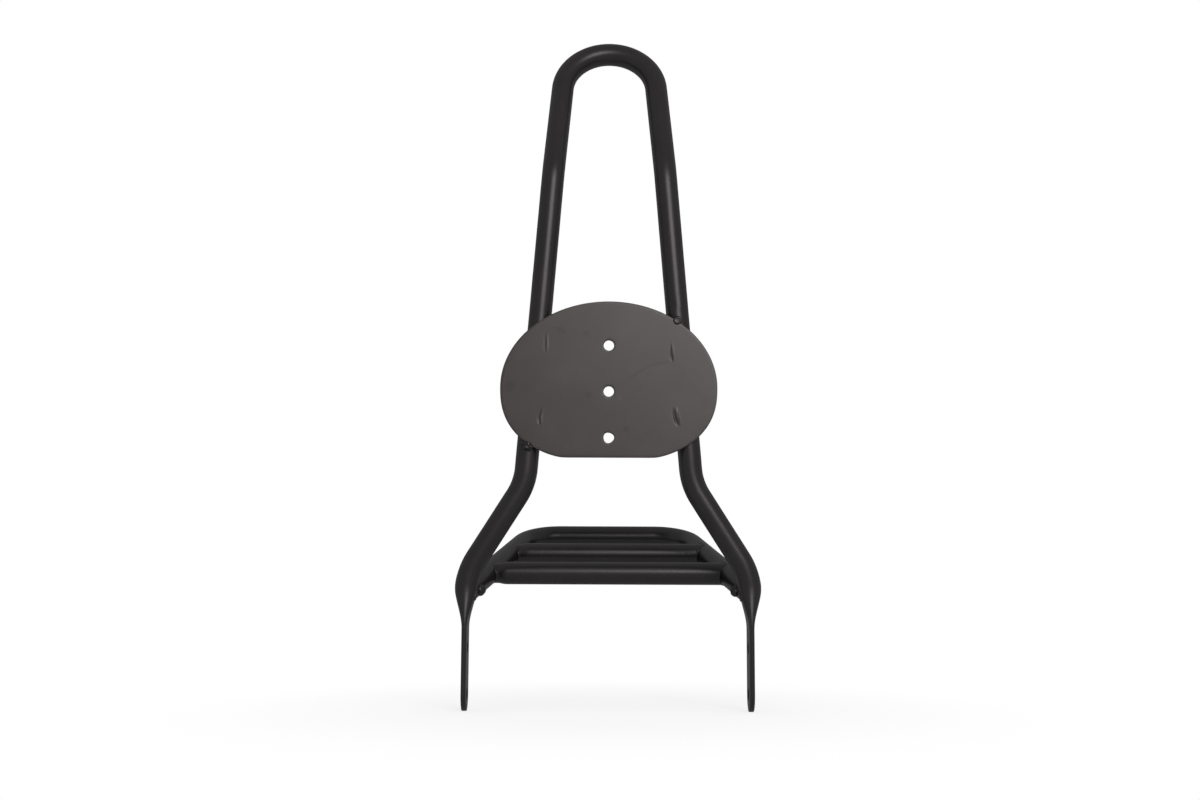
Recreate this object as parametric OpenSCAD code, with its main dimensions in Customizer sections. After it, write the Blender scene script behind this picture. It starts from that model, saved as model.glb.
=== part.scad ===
// Sissy bar: a hoop of bent tube with flattened, drilled ends, an oval plate for a
// backrest pad on its front, and a small luggage rack welded to the back of its legs.
// Millimetres. X runs across, Y to the rear and Z up the straight part of the legs.
// X = 0 is the middle plane, Y = 0 the middle of the hoop's tube, and Z = 0 the lower
// pair of mounting holes.

/* [Tube] */
// Outside diameter of the tube that the hoop and the rack are bent from
tube_d = 22.2; // [20:0.1:25]
// Wall thickness of that tube
tube_wall = 2.4; // [1.8:0.1:2.6]

/* [Flattened ends] */
// Distance between the middles of the two flattened ends
foot_span = 270; // [260:1:290]
// Height at which the tube stops being flat
flat_top = 61; // [58:0.5:64]
// Length over which it swells from flat to round
flare_len = 42; // [36:1:48]
// Distance between the two mounting holes of an end
foot_hole_pitch = 43; // [38:0.5:45]
// Diameter of the mounting holes
foot_hole_d = 11; // [8:0.5:13]

/* [Hoop] */
// Height of the corner where a leg turns inward
knee_z = 111; // [106:1:116]
// Bend radius of that corner, at the tube's middle
knee_r = 65; // [58:1:70]
// Height of the corner where a leg straightens up again
hip_z = 198; // [188:1:208]
// Distance between the legs' middles at that corner
hip_span = 160; // [150:1:170]
// Bend radius of that corner
hip_r = 60; // [50:1:80]
// Height of the corner where the top begins to lean back
lean_z = 505; // [480:1:530]
// Distance between the legs' middles at that corner
lean_span = 110; // [104:1:116]
// Bend radius of that corner
lean_r = 60; // [50:1:80]
// Angle by which the top leans back
lean_angle = 20; // [12:0.5:28]
// Length of the leaning top, up to the middle of the crown's tube
top_len = 147; // [138:1:160]
// Bend radius of the crown, at the tube's middle
crown_r = 47.5; // [44:0.5:49]

/* [Pad plate] */
// Width of the oval plate
plate_w = 208; // [190:1:226]
// Thickness of the plate
plate_t = 3; // [2:0.5:4]
// Height of the plate's widest line
plate_z = 289.5; // [286:0.5:292]
// Height of the oval above its widest line
plate_rise = 83.5; // [78:0.5:92]
// Depth that the oval would have below its widest line
plate_drop = 72; // [71:0.5:77]
// Depth at which the oval is cut off straight
plate_cut = 67.5; // [62:0.5:69]
// Height of the middle bolt hole
pad_hole_z = 285.5; // [282:0.5:289]
// Distance from one bolt hole to the next
pad_hole_pitch = 44.5; // [40:0.5:48]
// Diameter of the bolt holes
pad_hole_d = 10; // [8:0.5:12]

/* [Rack] */
// Height at which the middle of the rack's arms meets the legs
rack_z = 94.5; // [91:0.5:98]
// Angle by which the rack rises towards the rear
rack_slope = 17.5; // [12:0.5:22]
// Distance from the legs to the rear tube's middle, along the slope
rack_len = 193; // [180:1:210]
// Distance between the arms' middles at the rear corners
rack_rear_span = 164; // [150:1:180]
// Bend radius of the rear corners
rack_corner_r = 42; // [38:1:46]
// Distance from one cross tube to the next, along the slope
bar_pitch = 66; // [60:0.5:68]

/* [Welds] */
// Width of the weld beads on each of the tubes that they join
weld_leg = 2.2; // [1.8:0.1:3]
// Length of the four short welds behind the plate
stitch_len = 14; // [10:1:18]
// Diameter of the two weld spots on the plate's edge
spot_d = 8; // [6:0.5:9]

/* [Hidden] */

tube_r = tube_d / 2;
bore_r = tube_r - tube_wall;

// Every bend is fatter than the straights by the swell. A flare goes from the foot swell at
// its flat end to a little more than the swell at its round one. What meets a bend or flare
// reaches into it by the lap. So a tube joins cleanly into one solid with a closed mesh.
swell = 0.15;
foot_swell = 0.02;
flare_swell = 0.21;
lap = 0.4;
// Faces round a tube's section, round a full turn of a bend, and round a weld
round_fn = 64;
bend_fn = 120;
weld_fn = 48;

// Path of the right leg: foot, knee, hip, lean, then straight on to the crown
foot_x = foot_span / 2;
foot = [foot_x, 0, 0];
knee = [foot_x, 0, knee_z];
hip = [hip_span / 2, 0, hip_z];
lean = [lean_span / 2, 0, lean_z];
top_up = [0, sin(lean_angle), cos(lean_angle)];
crown_rise = top_len - crown_r;
crown_mid = [0, 0, lean_z] + top_up * crown_rise;
lean_to_crown = norm([lean.x, crown_rise]);
crown_slope = atan2(lean.x, crown_rise) - asin(crown_r / lean_to_crown);
crown_turn = 180 - 2 * crown_slope;
top_side = sqrt(pow(lean_to_crown, 2) - pow(crown_r, 2));
crown_start = lean + (top_up * cos(crown_slope) - [sin(crown_slope), 0, 0]) * top_side;

// Flattened end: two walls thick, and as wide as the tube's girth makes it
flat_t = 2 * tube_wall;
flare_points = 32;
flare_steps = 10;
knee_start_z = knee_z - reach(foot, knee, hip, knee_r);
flat_to_knee = knee_start_z - flat_top;
flare_turn = flare_angle(flare_len);
// Share of the flare, from its flat end, in which the walls are pressed together
crimp_share = 0.25;
// Length of the cylinders that cut the bolt holes, which passes through either end or plate
drill_len = 20;

// Powers that shape the plate's outline, where 2 would be an ellipse
plate_top_power = 2;
plate_low_power = 2.4;
plate_points = 120;
plate_y = -tube_r;
// Heights of the short welds behind the plate, from its widest line
stitch_up = 39.5;
stitch_down = -30.5;
// How far a short weld's middle lies inward of its tube's middle
stitch_in = 0.72 * tube_r;
// Length of the tapered part at each end of a short weld
stitch_taper = 0.8 * weld_leg;
// Heights of the weld spots on the plate's edge, from its widest line
spot_up = 64.5;
spot_down = -56.5;

// Rack, in its own sloping plane
rack_rear_x = rack_rear_span / 2;
arm_start = rack_at(foot_x, 0);
rack_corner = rack_at(rack_rear_x, rack_len);
rack_corner_left = rack_at(-rack_rear_x, rack_len);
middle_bar_at = rack_len - bar_pitch;
front_bar_at = middle_bar_at - bar_pitch;
// How far a cross tube's end stops short of the middle of the arm that it is cut to fit
bar_end_gap = 2;
// Distance behind the leg's middle at which the weld round an arm's end begins
arm_weld_at = 0.6 * tube_r;

tube_color = "#2c2a2b";
plate_color = "#4b4849";
weld_color = "#242324";

function unit(v) = v / norm(v);
// Angle through which a path turns at a corner
function turn(before, at, after) = acos(unit(at - before) * unit(after - at));
// Distance from a corner to where its bend starts
function reach(before, at, after, bend_r) = bend_r * tan(turn(before, at, after) / 2);
// Points where a corner's bend starts and ends
function bend_in(before, at, after, bend_r) = at - unit(at - before) * reach(before, at, after, bend_r);
function bend_out(before, at, after, bend_r) = at + unit(after - at) * reach(before, at, after, bend_r);

// Point of the rack's plane, x across and u up its slope from the legs
function rack_at(x, u) = [x, u * cos(rack_slope), rack_z + u * sin(rack_slope)];
// Half the distance between the arms' middles at u
function arm_x(u) = foot_x - (foot_x - rack_rear_x) * u / rack_len;

// Girth of a flattened section stays that of the round tube, so it widens as it thins
function flat_width(t) = t + PI / 2 * (tube_d - t);
function ease(k) = k * k * (3 - 2 * k);
function flare_thickness(s) = flat_t + (tube_d - flat_t) * ease(s / flare_len);
// Angle that the knee's bend has turned at a length s above the flat
function flare_angle(s) = max(0, s - flat_to_knee) / knee_r * 180 / PI;
function flare_mid(s) =
    let (a = flare_angle(s))
    s <= flat_to_knee
        ? [foot_x, 0, flat_top + s]
        : [foot_x - knee_r * (1 - cos(a)), 0, knee_start_z + knee_r * sin(a)];
// Ring of points round the flare at s: two half rounds of the section's thickness
function flare_ring(s, grow) =
    let (
        a = flare_angle(s),
        t = flare_thickness(s),
        shift = (flat_width(t) - t) / 2,
        fatter = foot_swell + (flare_swell - foot_swell) * s / flare_len,
        r = (t / 2 + grow + fatter) / cos(180 / flare_points)
    )
    [
        for (i = [0 : flare_points - 1])
            let (
                q = 360 * (i + 0.5) / flare_points,
                across = r * cos(q),
                along = r * sin(q) + sign(sin(q)) * shift
            )
            flare_mid(s) + [across * cos(a), along, across * sin(a)]
    ];

// Point of the plate's outline, before its lower edge is cut off
function plate_point(q) =
    let (
        p = sin(q) > 0 ? plate_top_power : plate_low_power,
        h = sin(q) > 0 ? plate_rise : plate_drop
    )
    [
        plate_w / 2 * sign(cos(q)) * pow(abs(cos(q)), 2 / p),
        h * sign(sin(q)) * pow(abs(sin(q)), 2 / p)
    ];
// Half width of the plate's outline at a height above its widest line
function plate_half(h) =
    let (
        p = h > 0 ? plate_top_power : plate_low_power,
        full = h > 0 ? plate_rise : plate_drop
    )
    plate_w / 2 * pow(1 - pow(abs(h) / full, p), 1 / p);
// Middle of the right leg at a height between its hip and the lean
function leg_x(z) = hip.x + (lean.x - hip.x) * (z - hip_z) / (lean_z - hip_z);

// Puts the children's X, Y and Z along the given directions, from the given point
module place(at, x, y, z) {
    multmatrix([
        [x.x, y.x, z.x, at.x],
        [x.y, y.y, z.y, at.y],
        [x.z, y.z, z.z, at.z]
    ])
        children();
}

// Both sides of the middle plane
module both_sides() {
    children();
    mirror([1, 0, 0]) children();
}

// Round bar from one point to another, with its lap at each end
module straight(from, to, r) {
    d = unit(to - from);
    translate(from - d * lap)
        rotate([0, acos(d.z), atan2(d.y, d.x)])
            cylinder(r = r, h = norm(to - from) + 2 * lap, $fn = round_fn);
}

// Bend at a corner, less a first part of its angle
module bend(before, at, after, bend_r, r, skip = 0) {
    ahead = unit(at - before);
    normal = unit(cross(ahead, after - at));
    outward = cross(ahead, normal);
    place(bend_in(before, at, after, bend_r) - outward * bend_r, outward, ahead, normal)
        rotate([0, 0, skip])
            rotate_extrude(angle = turn(before, at, after) - skip, $fn = bend_fn)
                translate([bend_r, 0])
                    circle(r = r + swell, $fn = round_fn);
}

// Skin through rings of points, from the length "from" to the top of the flare
module flare(grow, from = 0) {
    n = flare_points;
    points = [
        for (k = [0 : flare_steps])
            each flare_ring(from + (flare_len - from) * k / flare_steps, grow)
    ];
    sides = [
        for (k = [0 : flare_steps - 1], i = [0 : n - 1])
            let (j = (i + 1) % n)
            each [
                [k * n + i, (k + 1) * n + i, (k + 1) * n + j],
                [k * n + i, (k + 1) * n + j, k * n + j]
            ]
    ];
    first = [for (i = [0 : n - 1]) i];
    last = [for (i = [n - 1 : -1 : 0]) flare_steps * n + i];
    polyhedron(points = points, faces = concat([first], sides, [last]));
}

// Outside or bore of the right leg's lower part, above its flattened end
module lower_leg(r, flare_from = 0) {
    flare(r - tube_r, flare_from);
    bend(foot, knee, hip, knee_r, r, flare_turn - lap / knee_r * 180 / PI);
    straight(bend_out(foot, knee, hip, knee_r), bend_in(knee, hip, lean, hip_r), r);
}

// Straight stretch of the leg between the hip and the lean, which carries the plate
module shank(r) {
    straight(bend_out(knee, hip, lean, hip_r), bend_in(hip, lean, crown_start, lean_r), r);
}

module upper_leg(r) {
    bend(knee, hip, lean, hip_r, r);
    shank(r);
    bend(hip, lean, crown_start, lean_r, r);
    straight(bend_out(hip, lean, crown_start, lean_r), crown_start, r);
}

module crown(r) {
    translate(crown_mid)
        rotate([90 - lean_angle, 0, 0])
            rotate([0, 0, crown_slope])
                rotate_extrude(angle = crown_turn, $fn = bend_fn)
                    translate([crown_r, 0])
                        circle(r = r + swell, $fn = round_fn);
}

// Flattened end with half round long edges and a round lower end
module foot_blade() {
    w = flat_width(flat_t);
    end_r = w / 2 + foot_swell;
    intersection() {
        translate([foot_x, 0, -end_r])
            linear_extrude(height = flat_top + end_r + lap)
                union() {
                    square([flat_t, w - flat_t], center = true);
                    translate([0, (w - flat_t) / 2]) circle(d = flat_t, $fn = weld_fn);
                    translate([0, (flat_t - w) / 2]) circle(d = flat_t, $fn = weld_fn);
                }
        translate([foot_x - flat_t, 0, 0])
            rotate([90, 0, 90])
                linear_extrude(height = 2 * flat_t)
                    union() {
                        circle(r = end_r, $fn = round_fn);
                        translate([-end_r, 0]) square([2 * end_r, flat_top + lap]);
                    }
    }
}

module foot_holes() {
    for (z = [0, foot_hole_pitch])
        translate([foot_x, 0, z])
            rotate([0, 90, 0])
                cylinder(d = foot_hole_d, h = drill_len, center = true, $fn = round_fn);
}

module main_hoop() {
    color(tube_color)
        difference() {
            union() {
                both_sides() {
                    foot_blade();
                    lower_leg(tube_r);
                    upper_leg(tube_r);
                }
                crown(tube_r);
            }
            both_sides() {
                lower_leg(bore_r, crimp_share * flare_len);
                upper_leg(bore_r);
                foot_holes();
            }
            crown(bore_r);
        }
}

module plate_outline() {
    intersection() {
        polygon([for (i = [0 : plate_points - 1]) plate_point(360 * i / plate_points)]);
        translate([-plate_w, -plate_cut]) square([2 * plate_w, plate_cut + 2 * plate_rise]);
    }
}

// The plate without its holes, made thicker towards the rear by "behind"
module plate_body(behind = 0) {
    translate([0, plate_y + behind, plate_z])
        rotate([90, 0, 0])
            linear_extrude(height = plate_t + behind) plate_outline();
}

module pad_plate() {
    color(plate_color)
        difference() {
            plate_body();
            for (i = [-1 : 1])
                translate([0, plate_y, pad_hole_z + i * pad_hole_pitch])
                    rotate([90, 0, 0])
                        cylinder(d = pad_hole_d, h = drill_len, center = true, $fn = round_fn);
        }
}

// Outside or bore of one arm of the rack, from u onwards
module arm(r, u = 0) {
    arm_end = bend_in(arm_start, rack_corner, rack_corner_left, rack_corner_r);
    straight(rack_at(arm_x(u), u), arm_end, r);
}

module rack_path(r) {
    rear_x = bend_out(arm_start, rack_corner, rack_corner_left, rack_corner_r).x;
    both_sides() {
        arm(r);
        bend(arm_start, rack_corner, rack_corner_left, rack_corner_r, r);
    }
    straight(rack_at(rear_x, rack_len), rack_at(-rear_x, rack_len), r);
}

// One tube, bent at the two rear corners, its ends cut to fit the hoop's legs
module rack_loop() {
    color(tube_color)
        difference() {
            rack_path(tube_r);
            rack_path(bore_r);
            both_sides() lower_leg(tube_r);
        }
}

module bar(u, r) {
    x = arm_x(u) - bar_end_gap;
    straight(rack_at(-x, u), rack_at(x, u), r);
}

// Cross tube with both ends cut to fit the arms
module cross_bar(u) {
    color(tube_color)
        difference() {
            bar(u, tube_r);
            bar(u, bore_r);
            both_sides() arm(tube_r);
        }
}

module rack_front_bar() {
    cross_bar(front_bar_at);
}

module rack_middle_bar() {
    cross_bar(middle_bar_at);
}

// The children, cut to fit the plate and the leg that they lie on
module fit_plate_and_leg(behind = 0) {
    difference() {
        children();
        plate_body(behind);
        shank(tube_r);
    }
}

// Short weld with tapered ends in the gap between the plate's back and a leg's inner side
module stitch(z) {
    half = stitch_len / 2;
    fit_plate_and_leg()
        translate([leg_x(z) - stitch_in, plate_y, z])
            rotate_extrude($fn = weld_fn)
                polygon([
                    [0, -half],
                    [weld_leg / 2, -half],
                    [weld_leg, stitch_taper - half],
                    [weld_leg, half - stitch_taper],
                    [weld_leg / 2, half],
                    [0, half]
                ]);
}

// Weld spot where the plate's edge crosses a leg, h above the plate's widest line
module spot(h) {
    fit_plate_and_leg(tube_r)
        translate([plate_half(h), plate_y - plate_t / 2, plate_z + h])
            rotate([90, 0, 0])
                sphere(d = spot_d, $fn = weld_fn);
}

module plate_welds() {
    color(weld_color) {
        both_sides() {
            stitch(plate_z + stitch_up);
            stitch(plate_z + stitch_down);
        }
        spot(spot_up);
        mirror([1, 0, 0]) spot(spot_down);
    }
}

// Bead within a weld's width of both the arm and the leg, outside both
module rack_arm_welds() {
    color(weld_color)
        both_sides()
            difference() {
                intersection() {
                    arm(tube_r + weld_leg, arm_weld_at);
                    lower_leg(tube_r + weld_leg);
                }
                arm(tube_r);
                lower_leg(tube_r);
            }
}

module rack_bar_welds() {
    color(weld_color)
        for (u = [front_bar_at, middle_bar_at])
            both_sides()
                difference() {
                    intersection() {
                        arm(tube_r + weld_leg);
                        bar(u, tube_r + weld_leg);
                    }
                    arm(tube_r);
                    bar(u, tube_r);
                }
}

main_hoop();
pad_plate();
rack_loop();
rack_front_bar();
rack_middle_bar();
plate_welds();
rack_arm_welds();
rack_bar_welds();
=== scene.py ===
"""Looks of a satin black sissy bar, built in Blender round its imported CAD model."""

from __future__ import annotations

import logging
import math
import random
from collections.abc import Callable, Iterator
from contextlib import contextmanager
from dataclasses import dataclass
from enum import Enum

import bmesh
import bpy
from mathutils import Matrix, Vector, noise
from mathutils.bvhtree import BVHTree
from mathutils.geometry import delaunay_2d_cdt


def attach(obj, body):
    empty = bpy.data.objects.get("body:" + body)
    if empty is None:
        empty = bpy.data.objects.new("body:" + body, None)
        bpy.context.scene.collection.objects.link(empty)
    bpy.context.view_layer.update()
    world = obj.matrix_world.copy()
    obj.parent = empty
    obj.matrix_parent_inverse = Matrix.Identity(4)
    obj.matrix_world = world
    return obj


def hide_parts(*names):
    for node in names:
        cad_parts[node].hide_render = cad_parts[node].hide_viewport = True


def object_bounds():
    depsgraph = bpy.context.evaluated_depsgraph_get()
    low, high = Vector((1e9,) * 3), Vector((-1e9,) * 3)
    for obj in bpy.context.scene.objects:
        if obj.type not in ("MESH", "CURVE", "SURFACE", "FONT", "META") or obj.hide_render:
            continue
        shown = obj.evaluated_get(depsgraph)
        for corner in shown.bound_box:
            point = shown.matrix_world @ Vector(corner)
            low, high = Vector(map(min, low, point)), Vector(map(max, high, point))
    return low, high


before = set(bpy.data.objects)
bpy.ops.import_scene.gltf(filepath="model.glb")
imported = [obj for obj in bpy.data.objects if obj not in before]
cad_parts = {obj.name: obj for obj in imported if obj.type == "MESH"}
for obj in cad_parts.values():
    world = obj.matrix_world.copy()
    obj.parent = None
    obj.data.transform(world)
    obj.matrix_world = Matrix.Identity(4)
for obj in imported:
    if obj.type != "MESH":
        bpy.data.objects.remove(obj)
cad_low, cad_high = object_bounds()

log = logging.getLogger("sissy_bar")

Faces = list[tuple[int, ...]]
Shell = tuple[list[Vector], Faces]
Steps = list[tuple[Vector, Vector]]
Source = bpy.types.NodeSocket | float | tuple[float, ...]

MM = 0.001
FULL_TURN = 2 * math.pi
UP = Vector((0, 0, 1))
REAR = Vector((0, 1, 0))
RIGHT = Vector((1, 0, 0))
SEED = 7
# Points closer than the first and edges shorter than the second, in metres, become one point
MERGE = 2e-6
SPECK = 1e-6
# Angle in degrees above which an edge stays sharp
SHARP = 35.0


class Slot(Enum):
    """Material slots of the record."""

    TUBE = "tube_coating"
    PLATE = "plate_coating"
    WELD = "weld_coating"


# Small geometry helpers: all lengths in millimetres until a mesh is made


@dataclass(frozen=True)
class Station:
    """A place on a path: its point, the path's direction there, and its length so far."""

    point: Vector
    ahead: Vector
    length: float = 0.0


@dataclass(frozen=True)
class Corner:
    """A corner of a path and the radius that rounds it."""

    at: Vector
    radius: float = 0.0


def with_lengths(steps: Steps) -> list[Station]:
    """Turn points and directions into stations.

    Args:
        steps: Points and directions in order along a path.

    Returns:
        One station for each.
    """
    stations: list[Station] = []
    length = 0.0
    for i, (point, ahead) in enumerate(steps):
        if i:
            length += (point - steps[i - 1][0]).length
        stations.append(Station(point, ahead.normalized(), length))
    return stations


def arc(start: Vector, ahead: Vector, inward: Vector, radius: float, turn: float, parts: int) -> Steps:
    """Follow an arc.

    Args:
        start: Where it starts.
        ahead: Direction in which it starts.
        inward: Direction from there to its centre.
        radius: Its radius.
        turn: Angle by which it turns.
        parts: In how many equal parts.

    Returns:
        Point and direction at both ends of each part.
    """
    centre = start + inward * radius
    steps: Steps = []
    for k in range(parts + 1):
        c, s = math.cos(turn * k / parts), math.sin(turn * k / parts)
        steps.append((centre + (ahead * s - inward * c) * radius, ahead * c + inward * s))
    return steps


def rounded_path(corners: list[Corner], arc_step: float, straight_step: float) -> list[Station]:
    """Follow straight lines from corner to corner, with an arc at each.

    Args:
        corners: The corners; the first and the last are the path's ends.
        arc_step: Longest step along an arc.
        straight_step: Longest step along a straight.

    Returns:
        The stations of the path.
    """
    steps: Steps = []
    here = corners[0].at
    for i, corner in enumerate(corners[1:], 1):
        ahead = (corner.at - corners[i - 1].at).normalized()
        last = i == len(corners) - 1
        there = corner.at
        if not last:
            onward = (corners[i + 1].at - corner.at).normalized()
            turn = ahead.angle(onward)
            there = corner.at - ahead * corner.radius * math.tan(turn / 2)
        parts = max(1, math.ceil((there - here).length / straight_step))
        steps += [(here.lerp(there, k / parts), ahead) for k in range(parts)]
        if last:
            steps.append((there, ahead))
            break
        inward = (onward - ahead * onward.dot(ahead)).normalized()
        parts = max(2, math.ceil(corner.radius * turn / arc_step))
        bend = arc(there, ahead, inward, corner.radius, turn, parts)
        steps += bend[:-1]
        here = bend[-1][0]
    return with_lengths(steps)


def carried(side: Vector, stations: list[Station]) -> list[Vector]:
    """Carry a sideways direction along a path without twist.

    Args:
        side: The sideways direction at the first station.
        stations: The path.

    Returns:
        The sideways direction at each station.
    """
    sides: list[Vector] = []
    for s in stations:
        side = (side - s.ahead * side.dot(s.ahead)).normalized()
        sides.append(side)
    return sides


def clamped(value: float) -> float:
    """Limit a value to the range from 0 to 1."""
    return min(max(value, 0.0), 1.0)


def always(_: Vector) -> bool:
    """Pick every point."""
    return True


def smoothed(loop: list[Vector], rounds: int, moves: Callable[[Vector], bool] = always) -> list[Vector]:
    """Smooth a closed loop.

    Args:
        loop: The loop.
        rounds: How many times points move towards their neighbours.
        moves: Whether a point moves.

    Returns:
        The smoothed loop.
    """
    n = len(loop)
    for _ in range(rounds):
        loop = [(loop[i - 1] + p * 2 + loop[(i + 1) % n]) / 4 if moves(p) else p for i, p in enumerate(loop)]
    return loop


def ring_at(s: Station, side: Vector, radius: float, points: int) -> list[Vector]:
    """Circle of points square to a path.

    Args:
        s: Where the circle lies.
        side: Direction of its first point.
        radius: Its radius.
        points: How many points it has.

    Returns:
        The points.
    """
    other = s.ahead.cross(side)
    turns = [FULL_TURN * i / points for i in range(points)]
    return [s.point + side * (radius * math.cos(q)) + other * (radius * math.sin(q)) for q in turns]


def skin(rings: list[list[Vector]], closed_path: bool = False, cap_end: bool = True) -> Shell:
    """Skin rings of equally many points.

    Args:
        rings: The rings in order.
        closed_path: Whether the last ring joins the first, instead of a face at each end.
        cap_end: Whether the last ring gets a face.

    Returns:
        The points and faces.
    """
    n = len(rings[0])
    faces: Faces = []
    for k in range(len(rings) if closed_path else len(rings) - 1):
        a, b = k * n, (k + 1) % len(rings) * n
        faces += [(a + i, a + (i + 1) % n, b + (i + 1) % n, b + i) for i in range(n)]
    if not closed_path:
        faces.append(tuple(range(n - 1, -1, -1)))
        if cap_end:
            faces.append(tuple((len(rings) - 1) * n + i for i in range(n)))
    return [p for ring in rings for p in ring], faces


def turned(profile: list[tuple[float, float]], at: Vector, axis: Vector, points: int = 48) -> Shell:
    """Turn a profile round an axis.

    Args:
        profile: Radius and length along the axis of each point; both ends are capped.
        at: Where length 0 lies.
        axis: The axis.
        points: Points round a full turn.

    Returns:
        The points and faces.
    """
    side = axis.orthogonal().normalized()
    places = [Station(at + axis * length, axis) for _, length in profile]
    return skin([ring_at(s, side, radius, points) for s, (radius, _) in zip(places, profile)])


@contextmanager
def opened(piece: bpy.types.Object) -> Iterator[bmesh.types.BMesh]:
    """Open a piece's mesh for reading and changing.

    Args:
        piece: The piece.

    Returns:
        The open mesh, which is closed again afterwards.
    """
    bm = bmesh.new()
    bm.from_mesh(piece.data)
    yield bm
    bm.free()


def tidy_mesh(piece: bpy.types.Object, sharp: float = SHARP) -> None:
    """Merge doubled points, turn all faces outward and shade them smooth.

    Args:
        piece: The piece to tidy.
        sharp: Angle in degrees above which an edge stays sharp.
    """
    with opened(piece) as bm:
        bmesh.ops.remove_doubles(bm, verts=bm.verts, dist=MERGE)
        bmesh.ops.dissolve_degenerate(bm, edges=bm.edges, dist=SPECK)
        bmesh.ops.recalc_face_normals(bm, faces=bm.faces)
        for f in bm.faces:
            f.smooth = True
        bm.to_mesh(piece.data)
    piece.data.set_sharp_from_angle(angle=math.radians(sharp))
    piece.data.update()


def make_object(name: str, shell: Shell, sharp: float = SHARP) -> bpy.types.Object:
    """Make a smooth shaded mesh object from points in millimetres.

    Args:
        name: Name of the piece.
        shell: Its points and faces.
        sharp: Angle in degrees above which an edge stays sharp.

    Returns:
        The new object.
    """
    mesh = bpy.data.meshes.new(name)
    mesh.from_pydata([tuple(v * MM) for v in shell[0]], [], shell[1])
    piece = bpy.data.objects.new(name, mesh)
    bpy.context.collection.objects.link(piece)
    tidy_mesh(piece, sharp)
    return piece


def cut(piece: bpy.types.Object, tools: list[bpy.types.Object], keep_tools: bool = False) -> None:
    """Cut tools out of a piece and keep the result as its mesh.

    Args:
        piece: The piece that is cut.
        tools: What is cut out of it.
        keep_tools: Whether the tools stay in the scene.
    """
    for tool in tools:
        m = piece.modifiers.new("cut", "BOOLEAN")
        m.operation, m.solver, m.object = "DIFFERENCE", "EXACT", tool
    depsgraph = bpy.context.evaluated_depsgraph_get()
    mesh = bpy.data.meshes.new_from_object(piece.evaluated_get(depsgraph))
    piece.modifiers.clear()
    old, piece.data = piece.data, mesh
    mesh.name = piece.name
    bpy.data.meshes.remove(old)
    tidy_mesh(piece)
    if not keep_tools:
        for tool in tools:
            bpy.data.objects.remove(tool)


def tree_of(piece: bpy.types.Object) -> BVHTree:
    """Make a search tree of a piece's faces, in metres."""
    with opened(piece) as bm:
        return BVHTree.FromBMesh(bm)


# Finishes


def linear(code: str) -> tuple[float, float, float, float]:
    """Turn an sRGB hex colour into linear red, green, blue and alpha.

    Args:
        code: Six hex digits after a hash.

    Returns:
        The linear colour, opaque.
    """
    parts = [int(code[i : i + 2], 16) / 255 for i in (1, 3, 5)]
    r, g, b = (c / 12.92 if c <= 0.04045 else ((c + 0.055) / 1.055) ** 2.4 for c in parts)
    return (r, g, b, 1.0)


def per_metre(size_mm: float) -> float:
    """Scale at which a pattern repeats about once in this many millimetres."""
    return 1.0 / (size_mm * MM)


def add_node(
    tree: bpy.types.NodeTree, kind: str, inputs: dict[str | int, Source], **settings: str
) -> bpy.types.Node:
    """Add a node with its settings, input values and links.

    Args:
        tree: The tree that it goes into.
        kind: Its type, without the words that every shader node's type begins with.
        inputs: Output socket to link, or value to set, for each input by its name or number.
        settings: Attributes of the node.

    Returns:
        The new node.
    """
    made = tree.nodes.new(f"ShaderNode{kind}")
    for key, value in settings.items():
        setattr(made, key, value)
    for key, source in inputs.items():
        if isinstance(source, bpy.types.NodeSocket):
            tree.links.new(source, made.inputs[key])
        else:
            made.inputs[key].default_value = source
    return made


def emptied(owner: bpy.types.Material | bpy.types.World) -> bpy.types.NodeTree:
    """Clear the nodes of a new material or world.

    Args:
        owner: The material or world.

    Returns:
        Its empty node tree.
    """
    owner.use_nodes = True
    owner.node_tree.nodes.clear()
    return owner.node_tree


@dataclass(frozen=True)
class Smear:
    """A faint mark rubbed into the plate's coating: an arc from one angle to another."""

    x: float
    z: float
    radius: float
    from_deg: float
    to_deg: float
    width: float
    strength: float

    def share(self, tree: bpy.types.NodeTree, where: bpy.types.NodeSocket) -> bpy.types.NodeSocket:
        """Work out how strongly the mark covers each place.

        Args:
            tree: The material's tree.
            where: Position on the object, in metres.

        Returns:
            The share, 0 off the mark.
        """
        in_plane = {0: where, 1: (1.0, 0.0, 1.0), 2: (-self.x * MM, 0.0, -self.z * MM)}
        flat = add_node(tree, "VectorMath", in_plane, operation="MULTIPLY_ADD").outputs["Vector"]
        away = add_node(tree, "VectorMath", {0: flat}, operation="LENGTH").outputs["Value"]
        part = add_node(tree, "SeparateXYZ", {"Vector": flat}).outputs
        angle = add_node(tree, "Math", {0: part["Z"], 1: part["X"]}, operation="ARCTAN2").outputs[0]
        middle = math.radians((self.from_deg + self.to_deg) / 2)
        half = math.radians((self.to_deg - self.from_deg) / 2)
        shares = []
        for value, best, fade_from, fade_to, most in (
            (away, self.radius * MM, 0.0, self.width * MM, self.strength),
            (angle, middle, half / 2, half, 1.0),
        ):
            off = add_node(tree, "Math", {0: value, 1: best}, operation="SUBTRACT").outputs[0]
            off = add_node(tree, "Math", {0: off}, operation="ABSOLUTE").outputs[0]
            fade = {"Value": off, "From Min": fade_from, "From Max": fade_to, "To Min": most, "To Max": 0.0}
            made = add_node(tree, "MapRange", fade, interpolation_type="SMOOTHSTEP")
            shares.append(made.outputs["Result"])
        return add_node(tree, "Math", {0: shares[0], 1: shares[1]}, operation="MULTIPLY").outputs[0]


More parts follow.
